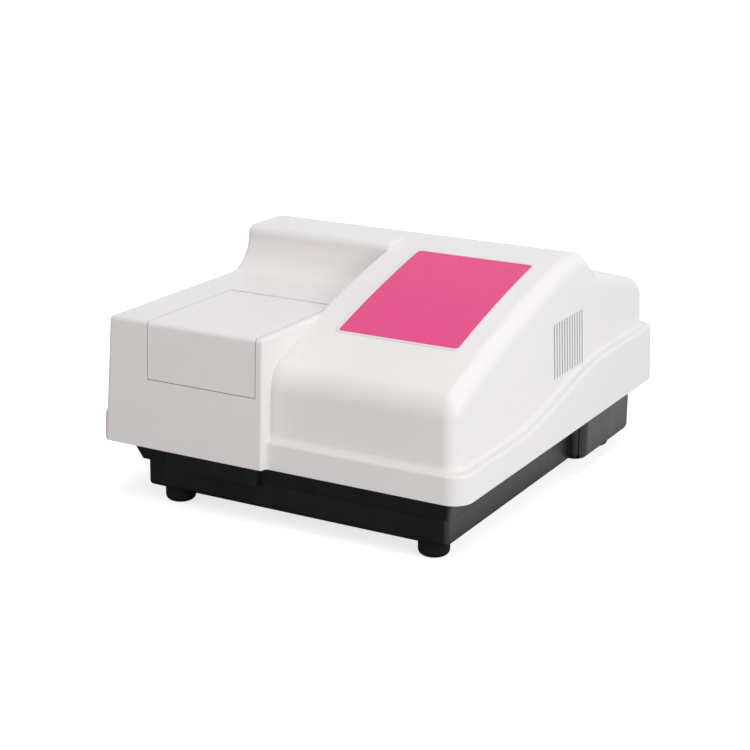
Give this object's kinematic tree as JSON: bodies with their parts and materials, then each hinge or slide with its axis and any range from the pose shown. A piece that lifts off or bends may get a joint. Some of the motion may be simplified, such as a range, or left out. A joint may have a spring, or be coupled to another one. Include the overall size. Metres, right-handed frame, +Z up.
{
  "type": "near-infrared spectrophotometer",
  "caption": "Bench-top spectrophotometer: white cover with sloping top, pink panel, hinged sample lid over a cell changer, grating monochromator and black base.",
  "frame": {"origin": "on the table, under the middle of the cover's outline", "axes": "+Z up; the sample bay and the panel face -Y; +X is to the right for someone standing at the front"},
  "size_m": [0.44, 0.54, 0.253],
  "materials": {
    "cover_plastic": "satin warm white moulded plastic",
    "panel_pink": "glossy magenta pink panel",
    "base_plastic": "black fine-textured plastic",
    "foot_rubber": "black rubber",
    "seal_foam": "black closed-cell foam",
    "screw_steel": "zinc-plated steel",
    "plate_aluminium": "milled aluminium",
    "black_anodised": "black anodised aluminium",
    "rail_steel": "ground steel rod",
    "case_paint": "matt black painted aluminium casting",
    "cuvette_glass": "clear quartz",
    "stopper_plastic": "white stopper plastic",
    "mirror_coat": "aluminised glass",
    "grating_coat": "ruled aluminised glass",
    "gear_brass": "turned brass",
    "motor_steel": "black painted motor body",
    "lamp_sheet": "grey painted sheet metal",
    "lamp_glass": "clear quartz envelope",
    "socket_ceramic": "cream ceramic",
    "filter_glass": "dark red filter glass",
    "sensor_can": "plated sensor can",
    "board_green": "green circuit board",
    "supply_steel": "galvanised steel sheet",
    "fan_plastic": "black plastic",
    "inlet_plastic": "black plastic",
    "port_metal": "plated metal shell"
  },
  "bodies": {
    "housing": {"base_tray": "base_plastic", "changer_motor": "motor_steel", "chopper_bracket": "plate_aluminium", "chopper_motor": "motor_steel", "collimating_mirror": "mirror_coat", "collimating_mount": "black_anodised", "colour_panel": "panel_pink", "condenser_lens": "lamp_glass", "cover_screws": "screw_steel", "data_port": "port_metal", "detector_housing": "black_anodised", "detector_sensor": "sensor_can", "entrance_slit": "black_anodised", "exit_slit": "black_anodised", "fan_bracket": "plate_aluminium", "fan_frame": "fan_plastic", "filter_bracket": "plate_aluminium", "filter_motor": "motor_steel", "focusing_mirror": "mirror_coat", "focusing_mount": "black_anodised", "foot_front_left": "foot_rubber", "foot_front_right": "foot_rubber", "foot_rear_left": "foot_rubber", "foot_rear_right": "foot_rubber", "foot_screws": "screw_steel", "guide_rails": "rail_steel", "halogen_lamp": "lamp_glass", "hinge_pins": "screw_steel", "lamp_housing": "lamp_sheet", "lamp_reflector": "mirror_coat", "lamp_socket": "socket_ceramic", "main_board": "board_green", "mains_inlet": "inlet_plastic", "monochromator_case": "case_paint", "monochromator_lid": "case_paint", "optical_plate": "plate_aluminium", "plate_pads": "foot_rubber", "plate_screws": "screw_steel", "power_supply": "supply_steel", "rail_block_front": "black_anodised", "rail_block_rear": "black_anodised", "sample_well": "black_anodised", "scan_motor": "motor_steel", "switch_frame": "inlet_plastic", "top_cover": "cover_plastic"},
    "lid": {"sample_lid": "cover_plastic", "lid_seal": "seal_foam"},
    "carriage": {"cell_carriage": "black_anodised", "cuvettes": "cuvette_glass", "cuvette_stoppers": "stopper_plastic"},
    "changer_screw": {"lead_screw": "rail_steel"},
    "grating_table": {"grating_turret": "black_anodised", "diffraction_grating": "grating_coat", "scan_gear": "gear_brass"},
    "scan_drive": {"scan_pinion": "gear_brass"},
    "chopper": {"chopper_disc": "black_anodised"},
    "filters": {"filter_wheel": "black_anodised", "order_filters": "filter_glass"},
    "fan": {"fan_rotor": "fan_plastic"},
    "rocker": {"power_rocker": "inlet_plastic"}
  },
  "joints": [
    {"name": "lid_hinge", "type": "hinge", "parent": "housing", "child": "lid", "pos_m": [-0.085, -0.1085, 0.1995], "axis": [-1, 0, 0], "range_deg": [0, 82]},
    {"name": "carriage_slide", "type": "slide", "parent": "housing", "child": "carriage", "axis": [0, 1, 0], "range_m": [0, 0.048]},
    {"name": "screw_spin", "type": "hinge", "parent": "housing", "child": "changer_screw", "pos_m": [-0.085, -0.185, 0.09], "axis": [0, 1, 0], "range_deg": [0, 2880]},
    {"name": "grating_turn", "type": "hinge", "parent": "housing", "child": "grating_table", "pos_m": [0.045, -0.114, 0.0813], "axis": [0, 0, 1], "range_deg": [0, 25]},
    {"name": "scan_drive_turn", "type": "hinge", "parent": "housing", "child": "scan_drive", "pos_m": [0.081, -0.114, 0.044], "axis": [0, 0, 1], "range_deg": [-125, 0]},
    {"name": "chopper_spin", "type": "hinge", "parent": "housing", "child": "chopper", "pos_m": [-0.096, -0.018, 0.118], "axis": [1, 0, 0], "continuous": true},
    {"name": "filter_turn", "type": "hinge", "parent": "housing", "child": "filters", "pos_m": [-0.06, -0.018, 0.118], "axis": [1, 0, 0], "continuous": true},
    {"name": "fan_spin", "type": "hinge", "parent": "housing", "child": "fan", "pos_m": [0.18, 0.032, 0.16], "axis": [1, 0, 0], "continuous": true},
    {"name": "power_switch", "type": "hinge", "parent": "housing", "child": "rocker", "pos_m": [-0.07, 0.195, 0.042], "axis": [-1, 0, 0], "range_deg": [0, 20]}
  ],
  "couplings": [
    {"joint": "screw_spin", "follows": "carriage_slide", "rad_per_m": 1047.2},
    {"joint": "scan_drive_turn", "follows": "grating_turn", "ratio": -5}
  ]
}
